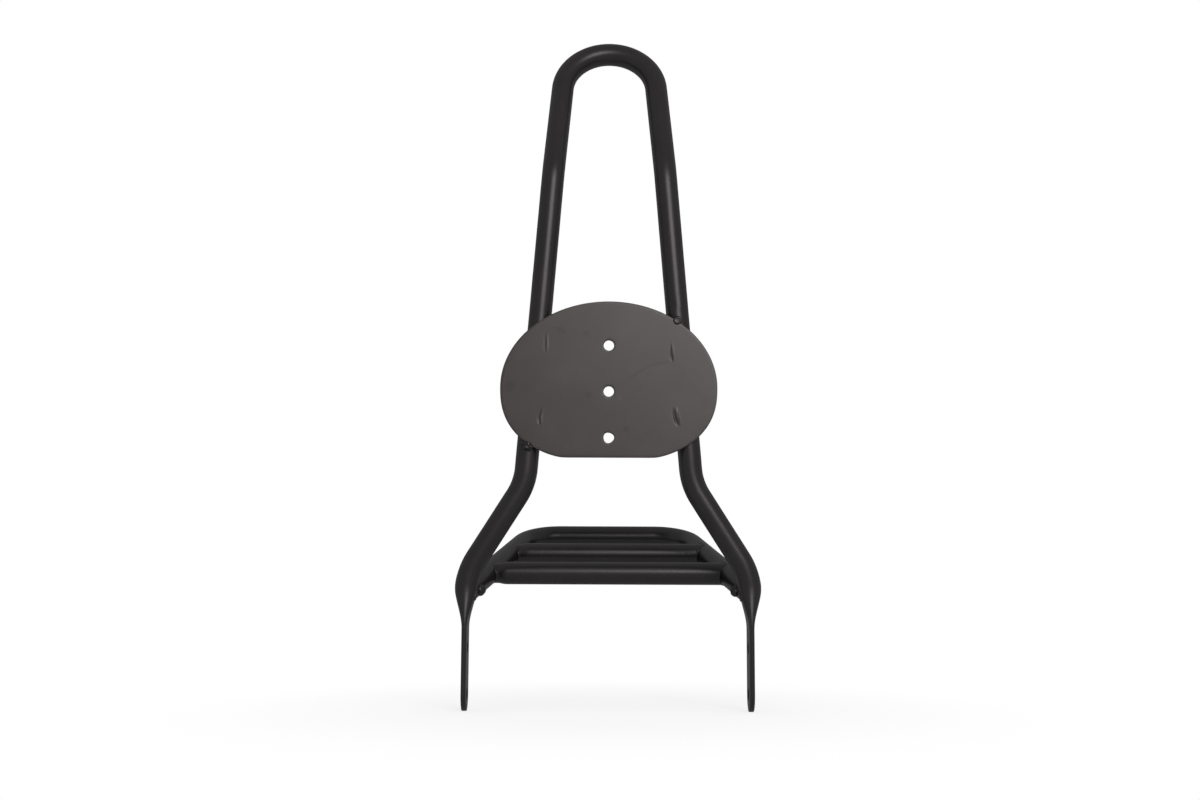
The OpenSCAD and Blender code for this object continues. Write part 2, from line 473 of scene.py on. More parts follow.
@dataclass(frozen=True)
class Spot:
    """A faint round patch on a face where the coating lies thicker or thinner."""

    x: float
    z: float
    width: float
    strength: float
    colour: str = "#1a1516"
    # Plane of the plate's front, which carries the spots
    y: float = -14.1

    def share(self, tree: bpy.types.NodeTree, where: bpy.types.NodeSocket) -> bpy.types.NodeSocket:
        """Work out how strongly the patch covers each place.

        Args:
            tree: The material's tree.
            where: Position on the object, in metres.

        Returns:
            The share, 0 off the patch.
        """
        middle = (self.x * MM, self.y * MM, self.z * MM)
        away = add_node(tree, "VectorMath", {0: where, 1: middle}, operation="DISTANCE").outputs["Value"]
        reach = self.width * MM
        fade = {"Value": away, "From Min": 0.0, "From Max": reach, "To Min": self.strength, "To Max": 0.0}
        return add_node(tree, "MapRange", fade, interpolation_type="SMOOTHSTEP").outputs["Result"]


@dataclass(frozen=True)
class PowderCoat:
    """Polyester powder coat, sprayed on steel and baked to a satin gloss.

    It gives the eye a nearly black, slightly warm surface with soft broad highlights, the faint
    waviness of orange peel, cloudy differences in gloss, and a paler colour on edges, partly for
    the thinner film there and partly a painted highlight along them.
    """

    name: str
    colour: str
    cloud_colour: str
    # Paler colour on sharp edges: partly the thinner film there, partly a painted highlight along them
    pale_edge_and_highlight_colour: str
    roughness: float
    # Share and index of the resin film that mirrors; its fine texture keeps the grazing glare low
    film: float = 0.21
    film_ior: float = 1.8
    # Orange peel of a satin coat repeats every 1.5 to 3 mm
    peel_mm: float = 2.4
    peel_depth_mm: float = 0.02
    # Clouds where the powder lay thicker or thinner, and how many specks of gloss lie across one
    cloud_mm: float = 26.0
    specks: float = 6.0
    # Grit of the satin texture; real grit is 0.1 mm, drawn coarser so that it shows
    grit_mm: float = 0.7
    grit_depth_mm: float = 0.004
    gloss_change: float = 0.025
    # Index of cured polyester
    ior: float = 1.5
    # Values of the noise between which clouds and specks go from none to full
    noise_range: tuple[float, float] = (0.3, 0.7)
    # Sharpness of an edge at which the coat begins to thin and to carry a painted highlight, and at which
    # both are strongest
    edge_range: tuple[float, float] = (0.53, 0.62)
    pale_edge_and_highlight_share: float = 0.7
    # Colour that a mark rubbed into the film takes
    rubbed_colour: str = "#141112"
    smears: tuple[Smear, ...] = ()
    spots: tuple[Spot, ...] = ()

    def build(self) -> bpy.types.Material:
        """Make the material.

        Returns:
            The finished material.
        """
        material = bpy.data.materials.new(self.name)
        tree = emptied(material)
        where = add_node(tree, "TexCoord", {}).outputs["Object"]
        patterns = []
        # How wide each pattern is, its octaves, and how rough they make it
        for size_mm, detail, rough in (
            (self.cloud_mm, 4.0, 0.6),
            (self.cloud_mm / self.specks, 3.0, 0.7),
            (self.peel_mm, 1.0, 0.4),
            (self.grit_mm, 2.0, 0.6),
        ):
            inputs = {"Vector": where, "Scale": per_metre(size_mm), "Detail": detail, "Roughness": rough}
            patterns.append(add_node(tree, "TexNoise", inputs).outputs["Fac"])
        clouds, specks, peel, grit = patterns
        edge = add_node(tree, "NewGeometry", {}).outputs["Pointiness"]
        glossy, dull = self.roughness - self.gloss_change, self.roughness + self.gloss_change
        ranged = []
        for value, (low, high), (least, most) in (
            (clouds, self.noise_range, (0.0, 1.0)),
            (edge, self.edge_range, (0.0, self.pale_edge_and_highlight_share)),
            (specks, self.noise_range, (glossy, dull)),
        ):
            inputs = {"Value": value, "From Min": low, "From Max": high, "To Min": least, "To Max": most}
            ranged.append(add_node(tree, "MapRange", inputs).outputs["Result"])
        cloud_share, pale_edge_and_highlight_share, gloss = ranged
        # Sharp edges are painted paler: partly thinner film, partly painted highlight
        layers = [(cloud_share, self.cloud_colour), (pale_edge_and_highlight_share, self.pale_edge_and_highlight_colour)]
        layers += [(smear.share(tree, where), self.rubbed_colour) for smear in self.smears]
        layers += [(spot.share(tree, where), spot.colour) for spot in self.spots]
        paint: Source = linear(self.colour)
        for share, colour in layers:
            inputs = {"Factor": share, "A": paint, "B": linear(colour)}
            paint = add_node(tree, "Mix", inputs, data_type="RGBA").outputs["Result"]
        bump = {"Height": peel, "Distance": self.peel_depth_mm * MM}
        peeled = add_node(tree, "Bump", bump).outputs["Normal"]
        bump = {"Height": grit, "Distance": self.grit_depth_mm * MM, "Normal": peeled}
        rough = add_node(tree, "Bump", bump).outputs["Normal"]
        look = {
            "Base Color": paint,
            "Roughness": gloss,
            "IOR": self.ior,
            "Normal": rough,
            "Specular IOR Level": 0.0,
            "Coat Weight": self.film,
            "Coat Roughness": self.roughness,
            "Coat IOR": self.film_ior,
            "Coat Normal": rough,
        }
        shader = add_node(tree, "BsdfPrincipled", look)
        add_node(tree, "OutputMaterial", {"Surface": shader.outputs[0]})
        return material


COATS = {
    # Smooth tube: the blackest of the three, with one narrow bright line along each tube
    Slot.TUBE: PowderCoat(
        name="satin_black_powder_coat_on_tube",
        colour="#110e0f",
        cloud_colour="#171414",
        pale_edge_and_highlight_colour="#262323",
        roughness=0.34,
    ),
    # Flat plate: the same black coat as the tube, with a paler colour that paints in the light of the
    # lamp that it faces, so that it looks like dark grey cloth, and shows each touch
    Slot.PLATE: PowderCoat(
        name="satin_black_powder_coat_on_plate",
        # Paler than the tube's colour: painted light of the front lamp on the plate's flat face
        colour="#251f1f",
        cloud_colour="#2e2727",
        pale_edge_and_highlight_colour="#373030",
        roughness=0.37,
        film=0.25,
        cloud_mm=40.0,
        smears=(
            Smear(61.4, 254.1, 60.1, 86.0, 142.0, 2.5, 0.6),
            Smear(-52.0, 335.0, 12.0, 20.0, 110.0, 1.6, 0.7),
        ),
        spots=(
            Spot(-19.3, 282.0, 5.0, 0.8),
            Spot(-22.2, 341.5, 6.0, 0.7),
            Spot(-47.0, 344.8, 6.0, 0.5),
            Spot(16.2, 249.2, 5.0, 0.8),
            Spot(-94.5, 290.3, 8.0, 0.7),
            Spot(10.8, 278.7, 4.0, 0.6, "#353036"),
        ),
    ),
    # Weld: the coat runs together over the ripples, so its highlights are small and broken
    Slot.WELD: PowderCoat(
        name="satin_black_powder_coat_on_weld",
        colour="#120f10",
        cloud_colour="#171414",
        pale_edge_and_highlight_colour="#262323",
        roughness=0.32,
        film=0.2,
        cloud_mm=8.0,
        peel_mm=1.8,
    ),
}


# Sub-assemblies


class SubAssembly:
    """Pieces that are made together and carry the same coat."""

    slot: Slot

    def dress(self, piece: bpy.types.Object, coat: bpy.types.Material, node: str) -> None:
        """Give a piece its coat and body in the record, and hide the node that it replaces.

        Args:
            piece: The piece.
            coat: Its coat.
            node: The node of the CAD model.
        """
        piece.data.materials.clear()
        piece.data.materials.append(coat)
        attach(piece, "root")
        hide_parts(node)


# The hoop


@dataclass(frozen=True)
class Dent:
    """A shallow hollow in the tube, left by grinding or a knock."""

    at: Vector
    reach: float
    depth: float

    def sink(self, p: Vector) -> float:
        """How deep the hollow is at a point."""
        return self.depth * math.exp(-(((p - self.at).length / self.reach) ** 2))


@dataclass
class Hoop(SubAssembly):
    """One bent tube with pressed, rounded and drilled ends. Its sizes are those of the CAD part."""

    tube_d: float = 22.2
    wall: float = 2.4
    foot_span: float = 270.0
    flat_top: float = 61.0
    flare_len: float = 42.0
    hole_pitch: float = 43.0
    hole_d: float = 11.0
    # Broken edge at both faces of a bolt hole, and how far its cutter reaches past them
    chamfer: float = 0.5
    past: float = 1.0
    knee_z: float = 111.0
    knee_r: float = 65.0
    hip_z: float = 198.0
    hip_span: float = 160.0
    hip_r: float = 60.0
    lean_z: float = 505.0
    lean_span: float = 110.0
    lean_r: float = 60.0
    lean_angle: float = 20.0
    top_len: float = 147.0
    crown_r: float = 47.5
    ring_points: int = 64
    arc_step: float = 2.5
    straight_step: float = 3.0
    # Where the mesh has its rings in a flat end: the first, those of its round tip, one every few
    # millimetres up the flat, and those of the flare
    first_ring: float = 0.02
    tip_degrees: range = range(8, 90, 6)
    flat_step: int = 4
    flare_steps: int = 28
    # Least distance from the flare's last ring to the next
    ring_gap: float = 1.0
    # Least width of the round tip's rings, as a share of the thickness
    tip_share: float = 0.9
    # Drawn tube is never quite true, which makes its long highlights waver; the noise is raised, so
    # that it sinks the tube nearly everywhere and lifts it nowhere
    wave_mm: float = 24.0
    wave_depth: float = 0.07
    wave_raise: float = 0.5
    dents: tuple[Dent, ...] = (
        Dent(Vector((59.5, -11.0, 372.0)), 5.0, 0.4),
        Dent(Vector((70.0, -10.0, 362.0)), 4.5, 0.3),
    )
    # Points as close to the middle plane as this, where the halves join, are moved into it
    join: float = 0.01
    slot: Slot = Slot.TUBE

    @property
    def radius(self) -> float:
        """Outside radius of the tube."""
        return self.tube_d / 2

    @property
    def flat_t(self) -> float:
        """Thickness of a flat end."""
        return 2 * self.wall

    def flat_width(self, t: float) -> float:
        """Width of a section of thickness t whose girth is the tube's."""
        return t + math.pi / 2 * (self.tube_d - t)

    @property
    def half_flat(self) -> float:
        """Half the width of a flat end, and the radius of its round tip."""
        return self.flat_width(self.flat_t) / 2

    @property
    def knee(self) -> Vector:
        """Corner where the right leg turns inward."""
        return Vector((self.foot_span / 2, 0, self.knee_z))

    @property
    def hip(self) -> Vector:
        """Corner where the right leg straightens up again."""
        return Vector((self.hip_span / 2, 0, self.hip_z))

    @property
    def lean(self) -> Vector:
        """Corner where the top begins to lean back."""
        return Vector((self.lean_span / 2, 0, self.lean_z))

    def leg_x(self, z: float) -> float:
        """Middle of the right leg at a height between knee and lean."""
        low, high = (self.hip, self.lean) if z > self.hip_z else (self.knee, self.hip)
        return low.x + (high.x - low.x) * (z - low.z) / (high.z - low.z)

    def half_path(self) -> list[Station]:
        """Path of the right half.

        Returns:
            Stations from the lowest point of the right end to the middle of the crown.
        """
        a = math.radians(self.lean_angle)
        top_up = Vector((0, math.sin(a), math.cos(a)))
        rise = self.top_len - self.crown_r
        middle = Vector((0, 0, self.lean_z)) + top_up * rise
        reach = math.hypot(self.lean.x, rise)
        slope = math.atan2(self.lean.x, rise) - math.asin(self.crown_r / reach)
        ahead = top_up * math.cos(slope) - RIGHT * math.sin(slope)
        out = RIGHT * math.cos(slope) + top_up * math.sin(slope)
        start = middle + out * self.crown_r
        corners = [
            Corner(Vector((self.foot_span / 2, 0, -self.half_flat))),
            Corner(self.knee, self.knee_r),
            Corner(self.hip, self.hip_r),
            Corner(self.lean, self.lean_r),
            Corner(start),
        ]
        path = rounded_path(corners, self.arc_step, self.straight_step)
        turn = math.pi / 2 - slope
        crown = arc(start, ahead, -out, self.crown_r, turn, math.ceil(self.crown_r * turn / self.arc_step))
        return with_lengths([(s.point, s.ahead) for s in path[:-1]] + crown)

    def dense_foot(self, path: list[Station]) -> list[Station]:
        """Add stations to the lower end, where the section changes.

        Args:
            path: The path of the right half.

        Returns:
            The path with close stations up to the top of the flare.
        """
        half_w = self.half_flat
        flare_from = half_w + self.flat_top
        flats = int(self.flat_top / self.flat_step) + 1
        wanted = [self.first_ring]
        wanted += [half_w * (1 - math.cos(math.radians(a))) for a in self.tip_degrees]
        wanted += [half_w + self.flat_step * k for k in range(flats)]
        wanted += [flare_from + self.flare_len * k / self.flare_steps for k in range(self.flare_steps + 1)]
        made = [self.at_length(path, length) for length in sorted(wanted)]
        return made + [s for s in path if s.length > flare_from + self.flare_len + self.ring_gap]

    @staticmethod
    def at_length(path: list[Station], length: float) -> Station:
        """Place at a length along a path.

        Args:
            path: The path.
            length: The length.

        Returns:
            The place, between its two nearest stations.
        """
        a, b = next((a, b) for a, b in zip(path, path[1:]) if b.length >= length)
        k = (length - a.length) / (b.length - a.length)
        return Station(a.point.lerp(b.point, k), a.ahead.lerp(b.ahead, k).normalized(), length)

    def section(self, s: Station, side: Vector) -> list[Vector]:
        """Ring of points of the tube's section at a station.

        Args:
            s: The station; its length is counted from the lowest point.
            side: The direction in which a flat section is wide.

        Returns:
            The ring.
        """
        up = s.length - self.half_flat
        k = clamped((up - self.flat_top) / self.flare_len)
        t = self.flat_t + (self.tube_d - self.flat_t) * k * k * (3 - 2 * k)
        width = self.flat_width(t)
        if up < 0:
            width = max(2 * math.sqrt(self.half_flat**2 - up**2), t * self.tip_share)
        thin = s.ahead.cross(side)
        shift = max((width - t) / 2, 0.0)
        ring = []
        for i in range(self.ring_points):
            q = FULL_TURN * (i + 0.5) / self.ring_points
            along = min(t / 2, width / 2) * math.sin(q) + math.copysign(shift, math.sin(q))
            ring.append(s.point + thin * (t / 2 * math.cos(q)) + side * along)
        return ring

    def uneven(self, v: Vector) -> Vector:
        """Sink a point of the round tube where it has a dent or a wave.

        Args:
            v: The point.

        Returns:
            The point, moved towards the inside of the tube.
        """
        if v.z < self.knee_z or v.z > self.lean_z:
            return v
        middle = Vector((math.copysign(self.leg_x(v.z), v.x), 0, v.z))
        wave = self.wave_depth * max(self.wave_raise + noise.noise(v / self.wave_mm), 0.0)
        return v + (middle - v).normalized() * (wave + sum(d.sink(v) for d in self.dents))

    def drill(self, side: int, z: float) -> bpy.types.Object:
        """Cutter for one bolt hole, with a small chamfer at both faces.

        Args:
            side: -1 for the left end, 1 for the right one.
            z: Height of the hole.

        Returns:
            The cutter.
        """
        r, half, wide = self.hole_d / 2, self.flat_t / 2, self.hole_d / 2 + self.chamfer
        profile = [(wide + self.past, -half - self.past), (wide, -half), (r, -half + self.chamfer)]
        profile += [(radius, -length) for radius, length in reversed(profile)]
        return make_object("drill", turned(profile, Vector((side * self.foot_span / 2, 0, z)), RIGHT))

    def build(self) -> bpy.types.Object:
        """Make the hoop's mesh.

        Returns:
            The hoop, drilled.
        """
        path = self.dense_foot(self.half_path())
        rings = [self.section(s, side) for s, side in zip(path, carried(REAR, path))]
        verts, faces = skin(rings, cap_end=False)
        n = len(verts)
        verts += [Vector((-v.x, v.y, v.z)) for v in verts]
        faces += [tuple(n + i for i in reversed(f)) for f in faces]
        for v in verts:
            if abs(v.x) < self.join:
                v.x = 0.0
        piece = make_object("hoop_tube", ([self.uneven(v) for v in verts], faces))
        cut(piece, [self.drill(side, z) for side in (-1, 1) for z in (0.0, self.hole_pitch)])
        return piece


# The rack


@dataclass
class Rack(SubAssembly):
    """The luggage rack: one bent tube and two cross tubes, in a sloping plane behind the legs."""

    hoop: Hoop
    height: float = 94.5
    slope: float = 17.5
    length: float = 193.0
    rear_span: float = 164.0
    corner_r: float = 42.0
    bar_pitch: float = 66.0
    # The cross tubes' left ends were ground narrower for their welds
    ground: float = 1.2
    ground_length: float = 8.0
    bar_step: float = 1.0
    # How far a cross tube's end stops short of the middle of the arm that it runs into
    short: float = 2.0
    slot: Slot = Slot.TUBE

    def at(self, x: float, u: float) -> Vector:
        """Point of the rack's plane, x across and u up its slope from the legs."""
        a = math.radians(self.slope)
        return Vector((x, u * math.cos(a), self.height + u * math.sin(a)))

    def arm_x(self, u: float) -> float:
        """Half the distance between the arms' middles at u."""
        wide = self.hoop.foot_span / 2
        return wide - (wide - self.rear_span / 2) * u / self.length

    @property
    def bar_places(self) -> tuple[float, float]:
        """Where the front and the middle cross tube lie up the slope."""
        return self.length - 2 * self.bar_pitch, self.length - self.bar_pitch

    @property
    def normal(self) -> Vector:
        """Direction square to the rack's plane, upward."""
        a = math.radians(self.slope)
        return Vector((0, -math.sin(a), math.cos(a)))

    def build_loop(self) -> bpy.types.Object:
        """Make the bent tube, its ends still running into the legs.

        Returns:
            The tube.
        """
        x, rear = self.hoop.foot_span / 2, self.rear_span / 2
        corners = [
            Corner(self.at(x, 0)),
            Corner(self.at(rear, self.length), self.corner_r),
            Corner(self.at(-rear, self.length), self.corner_r),
            Corner(self.at(-x, 0)),
        ]
        path = rounded_path(corners, self.hoop.arc_step, self.hoop.straight_step)
        rings = [ring_at(s, self.normal, self.hoop.radius, self.hoop.ring_points) for s in path]
        return make_object("rack_loop_tube", skin(rings))

    def build_bar(self, name: str, u: float) -> bpy.types.Object:
        """Make one cross tube, its ends still running into the arms.

        Args:
            name: Name of the piece.
            u: Where it lies up the slope.

        Returns:
            The tube.
        """
        x = self.arm_x(u) - self.short
        ends = [Corner(self.at(-x, u)), Corner(self.at(x, u))]
        path = rounded_path(ends, self.hoop.arc_step, self.bar_step)
        arm_side = self.hoop.radius - self.arm_x(u)
        rings = []
        for s in path:
            left = 1 - clamped((s.point.x - arm_side) / self.ground_length)
            radius = self.hoop.radius - self.ground * left**2
            rings.append(ring_at(s, self.normal, radius, self.hoop.ring_points))
        return make_object(name, skin(rings))


# The pad plate


@dataclass(frozen=True)
class Dimple:
    """A crease in the plate's front that the heat of a weld behind it has drawn."""

    x: float
    z: float
    tilt_deg: float
    # Depth of the crease's left, hollow side and height of its right, raised one
    hollow: float
    ridge: float
    length: float
    width: float
    # How far its ends bend to the right
    bend: float
    # How much deeper its upper or lower end is than the other
    skew: float
    # How soon that difference sets in, and how far left of its line the hollow lies, as a share of
    # the width
    skew_steep: float = 1.5
    hollow_left: float = 0.5
    # Room round it in which the mesh is fine
    room_x: float = 6.0
    room_z: float = 3.5

    def lift(self, x: float, z: float) -> float:
        """How far the front stands out at a point, negative where it sinks.

        Args:
            x: The point's x.
            z: The point's z.

        Returns:
            The height in millimetres.
        """
        a = math.radians(self.tilt_deg)
        dx, dz = x - self.x, z - self.z
        along = dz * math.cos(a) + dx * math.sin(a)
        share = 2 * along / self.length
        across = (dx * math.cos(a) - dz * math.sin(a) - self.bend * share**2) / self.width
        ends = math.exp(-(share**4)) * (1 - self.skew * math.tanh(self.skew_steep * share))
        raised = math.exp(-((across - 1) ** 2))
        sunk = math.exp(-((across + self.hollow_left) ** 2))
        return ends * (self.ridge * raised - self.hollow * sunk)

    def near(self, x: float, z: float) -> bool:
        """Whether a point lies where the mesh has to be fine."""
        return abs(x - self.x) < self.room_x and abs(z - self.z) < self.length / 2 + self.room_z


@dataclass
class PadPlate(SubAssembly):
    """Oval plate for the backrest pad, cut straight at its lower edge, with three bolt holes."""

    hoop: Hoop
    width: float = 208.0
    thickness: float = 3.0
    middle_z: float = 289.5
    rise: float = 83.5
    drop: float = 72.0
    cut_at: float = 67.5
    top_power: float = 2.0
    low_power: float = 2.4
    hole_z: float = 285.5
    hole_pitch: float = 44.5
    hole_d: float = 10.0
    oval_points: int = 240
    cut_points: int = 40
    hole_points: int = 48
    # Radius that the coating gives the plate's edges
    edge_r: float = 0.7
    edge_steps: int = 4
    # Spacing of the face's mesh, also round the dimples, and how far its points stray
    mesh_step: float = 2.0
    fine_step: float = 0.6
    row_share: float = 0.87
    stray: float = 0.05
    # Nearest that the face's mesh comes to a rim
    rim_margin: float = 1.8
    # The lowest hole was drilled by a wandering bit, which left it slightly three-cornered
    wander: float = 0.25
    wander_turn: float = math.radians(250)
    # The corners of the straight cut were ground soft
    corner_rounds: int = 8
    corner_reach: float = 9.0
    # Sheet is never quite flat
    buckle: float = 0.1
    buckle_mm: float = 55.0
    buckle_seed: float = 3.1
    dimples: tuple[Dimple, ...] = (
        Dimple(-60.6, 331.5, 0.0, 0.12, 0.22, 14.0, 1.1, 0.0, 0.0),
        Dimple(60.1, 324.4, -4.0, 0.45, 0.42, 15.0, 1.0, 0.0, 0.8),
        Dimple(-65.6, 262.0, 10.0, 0.45, 0.35, 13.0, 1.1, 0.8, 0.8),
        Dimple(64.0, 261.4, -12.0, 0.95, 0.8, 13.5, 1.35, 0.4, 0.3),
    )
    # Points of the face's mesh closer than this become one
    same: float = 1e-5
    sharp: float = 50.0
    slot: Slot = Slot.PLATE

    @property
    def back_y(self) -> float:
        """Where the plate's back touches the legs."""
        return -self.hoop.radius

    @property
    def front_y(self) -> float:
        """The plate's front face."""
        return self.back_y - self.thickness

    def shape(self, above: bool) -> tuple[float, float]:
        """Power and full height of the oval above or below its widest line."""
        return (self.top_power, self.rise) if above else (self.low_power, self.drop)

    def outline(self) -> list[Vector]:
        """Outline of the plate, counterclockwise as seen from the front.

        Returns:
            Points with x across and y up from the widest line.
        """
        points: list[Vector] = []
        for i in range(self.oval_points):
            q = FULL_TURN * i / self.oval_points
            c, s = math.cos(q), math.sin(q)
            power, high = self.shape(s > 0)
            x = self.width / 2 * math.copysign(abs(c) ** (2 / power), c)
            y = high * math.copysign(abs(s) ** (2 / power), s)
            if y > -self.cut_at:
                points.append(Vector((x, y)))
        power, high = self.shape(False)
        low_x = self.width / 2 * (1 - (self.cut_at / high) ** power) ** (1 / power)
        first_low = next(i for i, p in enumerate(points) if i and p.x > 0 and points[i - 1].x < 0 and p.y < 0)
        steps = range(self.cut_points + 1)
        flat = [Vector((-low_x + 2 * low_x * k / self.cut_points, -self.cut_at)) for k in steps]
        corner = Vector((low_x, -self.cut_at))
        return smoothed(
            points[:first_low] + flat + points[first_low:],
            self.corner_rounds,
            lambda p: (Vector((abs(p.x), p.y)) - corner).length < self.corner_reach,
        )

    def hole_radius(self, k: int, q: float) -> float:
        """Radius of hole k, counted from the lowest, towards angle q."""
        return self.hole_d / 2 + (self.wander * math.cos(3 * (q - self.wander_turn)) if k == 0 else 0.0)

    def hole_heights(self) -> list[float]:
        """Heights of the bolt holes above the widest line."""
        return [self.hole_z - self.middle_z + k * self.hole_pitch for k in (-1, 0, 1)]

    def loops(self) -> list[list[Vector]]:
        """Draw all rims of the plate.

        Returns:
            The outline, counterclockwise, then the holes from the lowest up, clockwise.
        """
        made = [self.outline()]
        for k, y in enumerate(self.hole_heights()):
            turns = [-FULL_TURN * i / self.hole_points for i in range(self.hole_points)]
            rim = [Vector((math.cos(q), math.sin(q))) * self.hole_radius(k, q) for q in turns]
            made.append([Vector((0, y)) + p for p in rim])
        return made

    @staticmethod
    def inset(loop: list[Vector], by: float) -> list[Vector]:
        """Move each point of a loop towards the plate's metal.

        Args:
            loop: The loop.
            by: How far.

        Returns:
            The moved points.
        """
        moved = []
        for i, p in enumerate(loop):
            edge = loop[(i + 1) % len(loop)] - loop[i - 1]
            moved.append(p + Vector((-edge.y, edge.x)).normalized() * by)
        return moved

    def lift(self, x: float, z: float) -> float:
        """How far the front stands out at a point of the plate."""
        wave = noise.noise(Vector((x / self.buckle_mm, z / self.buckle_mm, self.buckle_seed))) * self.buckle
        return wave + sum(d.lift(x, z) for d in self.dimples)

    def well_inside(self, p: Vector) -> bool:
        """Whether a point lies so far inside the rims that the face's mesh may have it.

        Args:
            p: The point.

        Returns:
            True where the outline and the holes are both farther off than the margin.
        """
        margin, half = self.rim_margin, self.width / 2
        power, full = self.shape(p.y > 0)
        across, high = abs(p.x) / half, abs(p.y) / full
        in_oval = max(
            (across + margin / half) ** power + high**power, across**power + (high + margin / full) ** power
        )
        if p.y < margin - self.cut_at or in_oval > 1:
            return False
        return all((p - Vector((0, y))).length > self.hole_d / 2 + margin for y in self.hole_heights())

    def face(self, loops: list[list[Vector]]) -> Shell:
        """Triangulate the area inside the first loop and outside the others.

        Args:
            loops: The outer loop, then the holes.

        Returns:
            Flat points, the loops' own first, and triangles.
        """
        points: list[Vector] = []
        edges: list[tuple[int, int]] = []
        for loop in loops:
            base = len(points)
            points += loop
            edges += [(base + i, base + (i + 1) % len(loop)) for i in range(len(loop))]
        rim_points = len(points)
        rng = random.Random(SEED)
        for step, fine in ((self.mesh_step, False), (self.fine_step, True)):
            rows = int(2 * self.rise / step)
            cols = int(self.width / 2 / step) + 1
            for row in range(-rows, rows):
                y = row * step * self.row_share
                for col in range(-cols, cols + 1):
                    x = (col + row % 2 / 2) * step
                    if fine != any(d.near(x, self.middle_z + y) for d in self.dimples):
                        continue
                    stray_x, stray_y = (rng.uniform(-self.stray, self.stray) * step for _ in range(2))
                    p = Vector((x + stray_x, y + stray_y))
                    if self.well_inside(p):
                        points.append(p)
        out_points, _, triangles, _, _, _ = delaunay_2d_cdt(points, edges, [], 0, self.same)
        inside: Faces = []
        for t in triangles:
            middle = sum((out_points[i] for i in t), Vector((0, 0))) / 3
            in_loops = [self.within(middle, loop) for loop in loops] if max(t) < rim_points else [True]
            if in_loops[0] and not any(in_loops[1:]):
                inside.append(tuple(t))
        return list(out_points), inside

    @staticmethod
    def within(p: Vector, loop: list[Vector]) -> bool:
        """Whether a point lies inside a loop.

        Args:
            p: The point.
            loop: The loop.

        Returns:
            True where a line from the point to the right crosses the loop an odd number of times.
        """
        odd = False
        for a, b in zip(loop, loop[1:] + loop[:1]):
            if (a.y > p.y) != (b.y > p.y) and p.x < a.x + (b.x - a.x) * (p.y - a.y) / (b.y - a.y):
                odd = not odd
        return odd

    def build(self) -> bpy.types.Object:
        """Make the plate with rounded edges, drilled holes and heat marks.

        Returns:
            The plate.
        """
        e, loops = self.edge_r, self.loops()
        flat_points, triangles = self.face([self.inset(loop, e) for loop in loops])
        fronts = len(flat_points)
        verts: list[Vector] = []
        for p in flat_points:
            z = self.middle_z + p.y
            verts.append(Vector((p.x, self.front_y - self.lift(p.x, z), z)))
        verts += [Vector((p.x, self.back_y, self.middle_z + p.y)) for p in flat_points]
        faces = triangles + [tuple(fronts + i for i in reversed(t)) for t in triangles]
        quarter = [math.radians(90 * k / self.edge_steps) for k in range(1, self.edge_steps + 1)]
        around = [(self.front_y + e * (1 - math.cos(a)), a) for a in quarter]
        around += [(self.back_y - e * (1 - math.cos(a)), a) for a in reversed(quarter)]
        base = 0
        for loop in loops:
            n = len(loop)
            rows = [[base + i for i in range(n)]]
            for y, a in around:
                rows.append([len(verts) + i for i in range(n)])
                ring = self.inset(loop, e * (1 - math.sin(a)))
                verts += [Vector((p.x, y, self.middle_z + p.y)) for p in ring]
            rows.append([fronts + base + i for i in range(n)])
            for a_row, b_row in zip(rows, rows[1:]):
                faces += [(a_row[i], b_row[i], b_row[(i + 1) % n], a_row[(i + 1) % n]) for i in range(n)]
            base += n
        return make_object("backrest_plate", (verts, faces), self.sharp)


# Welds


@dataclass(frozen=True)
class Lump:
    """A rounded lump of weld, such as a bead's last puddle or a spot on the plate's edge."""

    at: Vector
    r: float
    # Its height as a share of its radius, and how far its shape wanders as a share of it
    flat: float
    uneven: float
    # Sets its shape
    seed: int
    # 1 for a ball; less for steep sides and a flatter top
    roundness: float
    rows: int = 20
    cols: int = 40
    # Bumps across the lump
    bumps: float = 1.9

    def shell(self) -> Shell:
        """Make the lump, facing the front.

        Returns:
            Points and faces.
        """
        rings = []
        for j in range(1, self.rows):
            a = math.pi * j / self.rows
            ring = []
            for i in range(self.cols):
                q = FULL_TURN * i / self.cols
                d = Vector((math.sin(a) * math.cos(q), -math.cos(a), math.sin(a) * math.sin(q)))
                grow = 1 + self.uneven * noise.noise(d * self.bumps + Vector((self.seed, 0, 0)))
                out = math.sin(a) ** self.roundness
                high = math.copysign(abs(math.cos(a)) ** self.roundness, d.y) * self.flat
                ring.append(self.at + Vector((math.cos(q) * out, high, math.sin(q) * out)) * (self.r * grow))
            rings.append(ring)
        return skin(rings)


